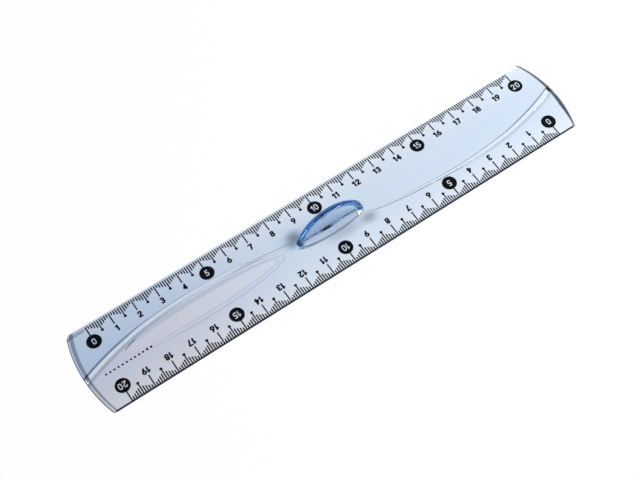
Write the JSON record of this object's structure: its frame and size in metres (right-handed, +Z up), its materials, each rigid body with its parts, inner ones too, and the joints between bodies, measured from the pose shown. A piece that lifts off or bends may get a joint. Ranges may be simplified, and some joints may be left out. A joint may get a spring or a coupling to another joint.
{
  "type": "straight ruler",
  "caption": "Clear pale blue plastic straight ruler with a centimetre scale along both long edges, a curved groove under it, a thumb recess and a raised finger grip.",
  "frame": {"origin": "middle of the underside, on the surface that the ruler lies on", "axes": "+X runs along the scales, +Y across them to the edge whose numbers rise towards +X, +Z is up"},
  "size_m": [0.222, 0.037, 0.0139],
  "materials": {
    "clear_plastic": "clear moulded styrene plastic with a pale blue tint, polished",
    "grip_plastic": "the same clear plastic, which looks a deep blue along its rim, polished",
    "black_ink": "matt black printing ink"
  },
  "bodies": {
    "root": {"blade": "clear_plastic", "finger_grip": "grip_plastic", "writing_line_dots": "black_ink", "far_millimetre_marks": "black_ink", "far_half_centimetre_marks": "black_ink", "far_centimetre_marks": "black_ink", "far_numerals": "black_ink", "far_badge_0": "black_ink", "far_badge_5": "black_ink", "far_badge_10": "black_ink", "far_badge_15": "black_ink", "far_badge_20": "black_ink", "near_millimetre_marks": "black_ink", "near_half_centimetre_marks": "black_ink", "near_centimetre_marks": "black_ink", "near_numerals": "black_ink", "near_badge_0": "black_ink", "near_badge_5": "black_ink", "near_badge_10": "black_ink", "near_badge_15": "black_ink", "near_badge_20": "black_ink"}
  },
  "joints": []
}
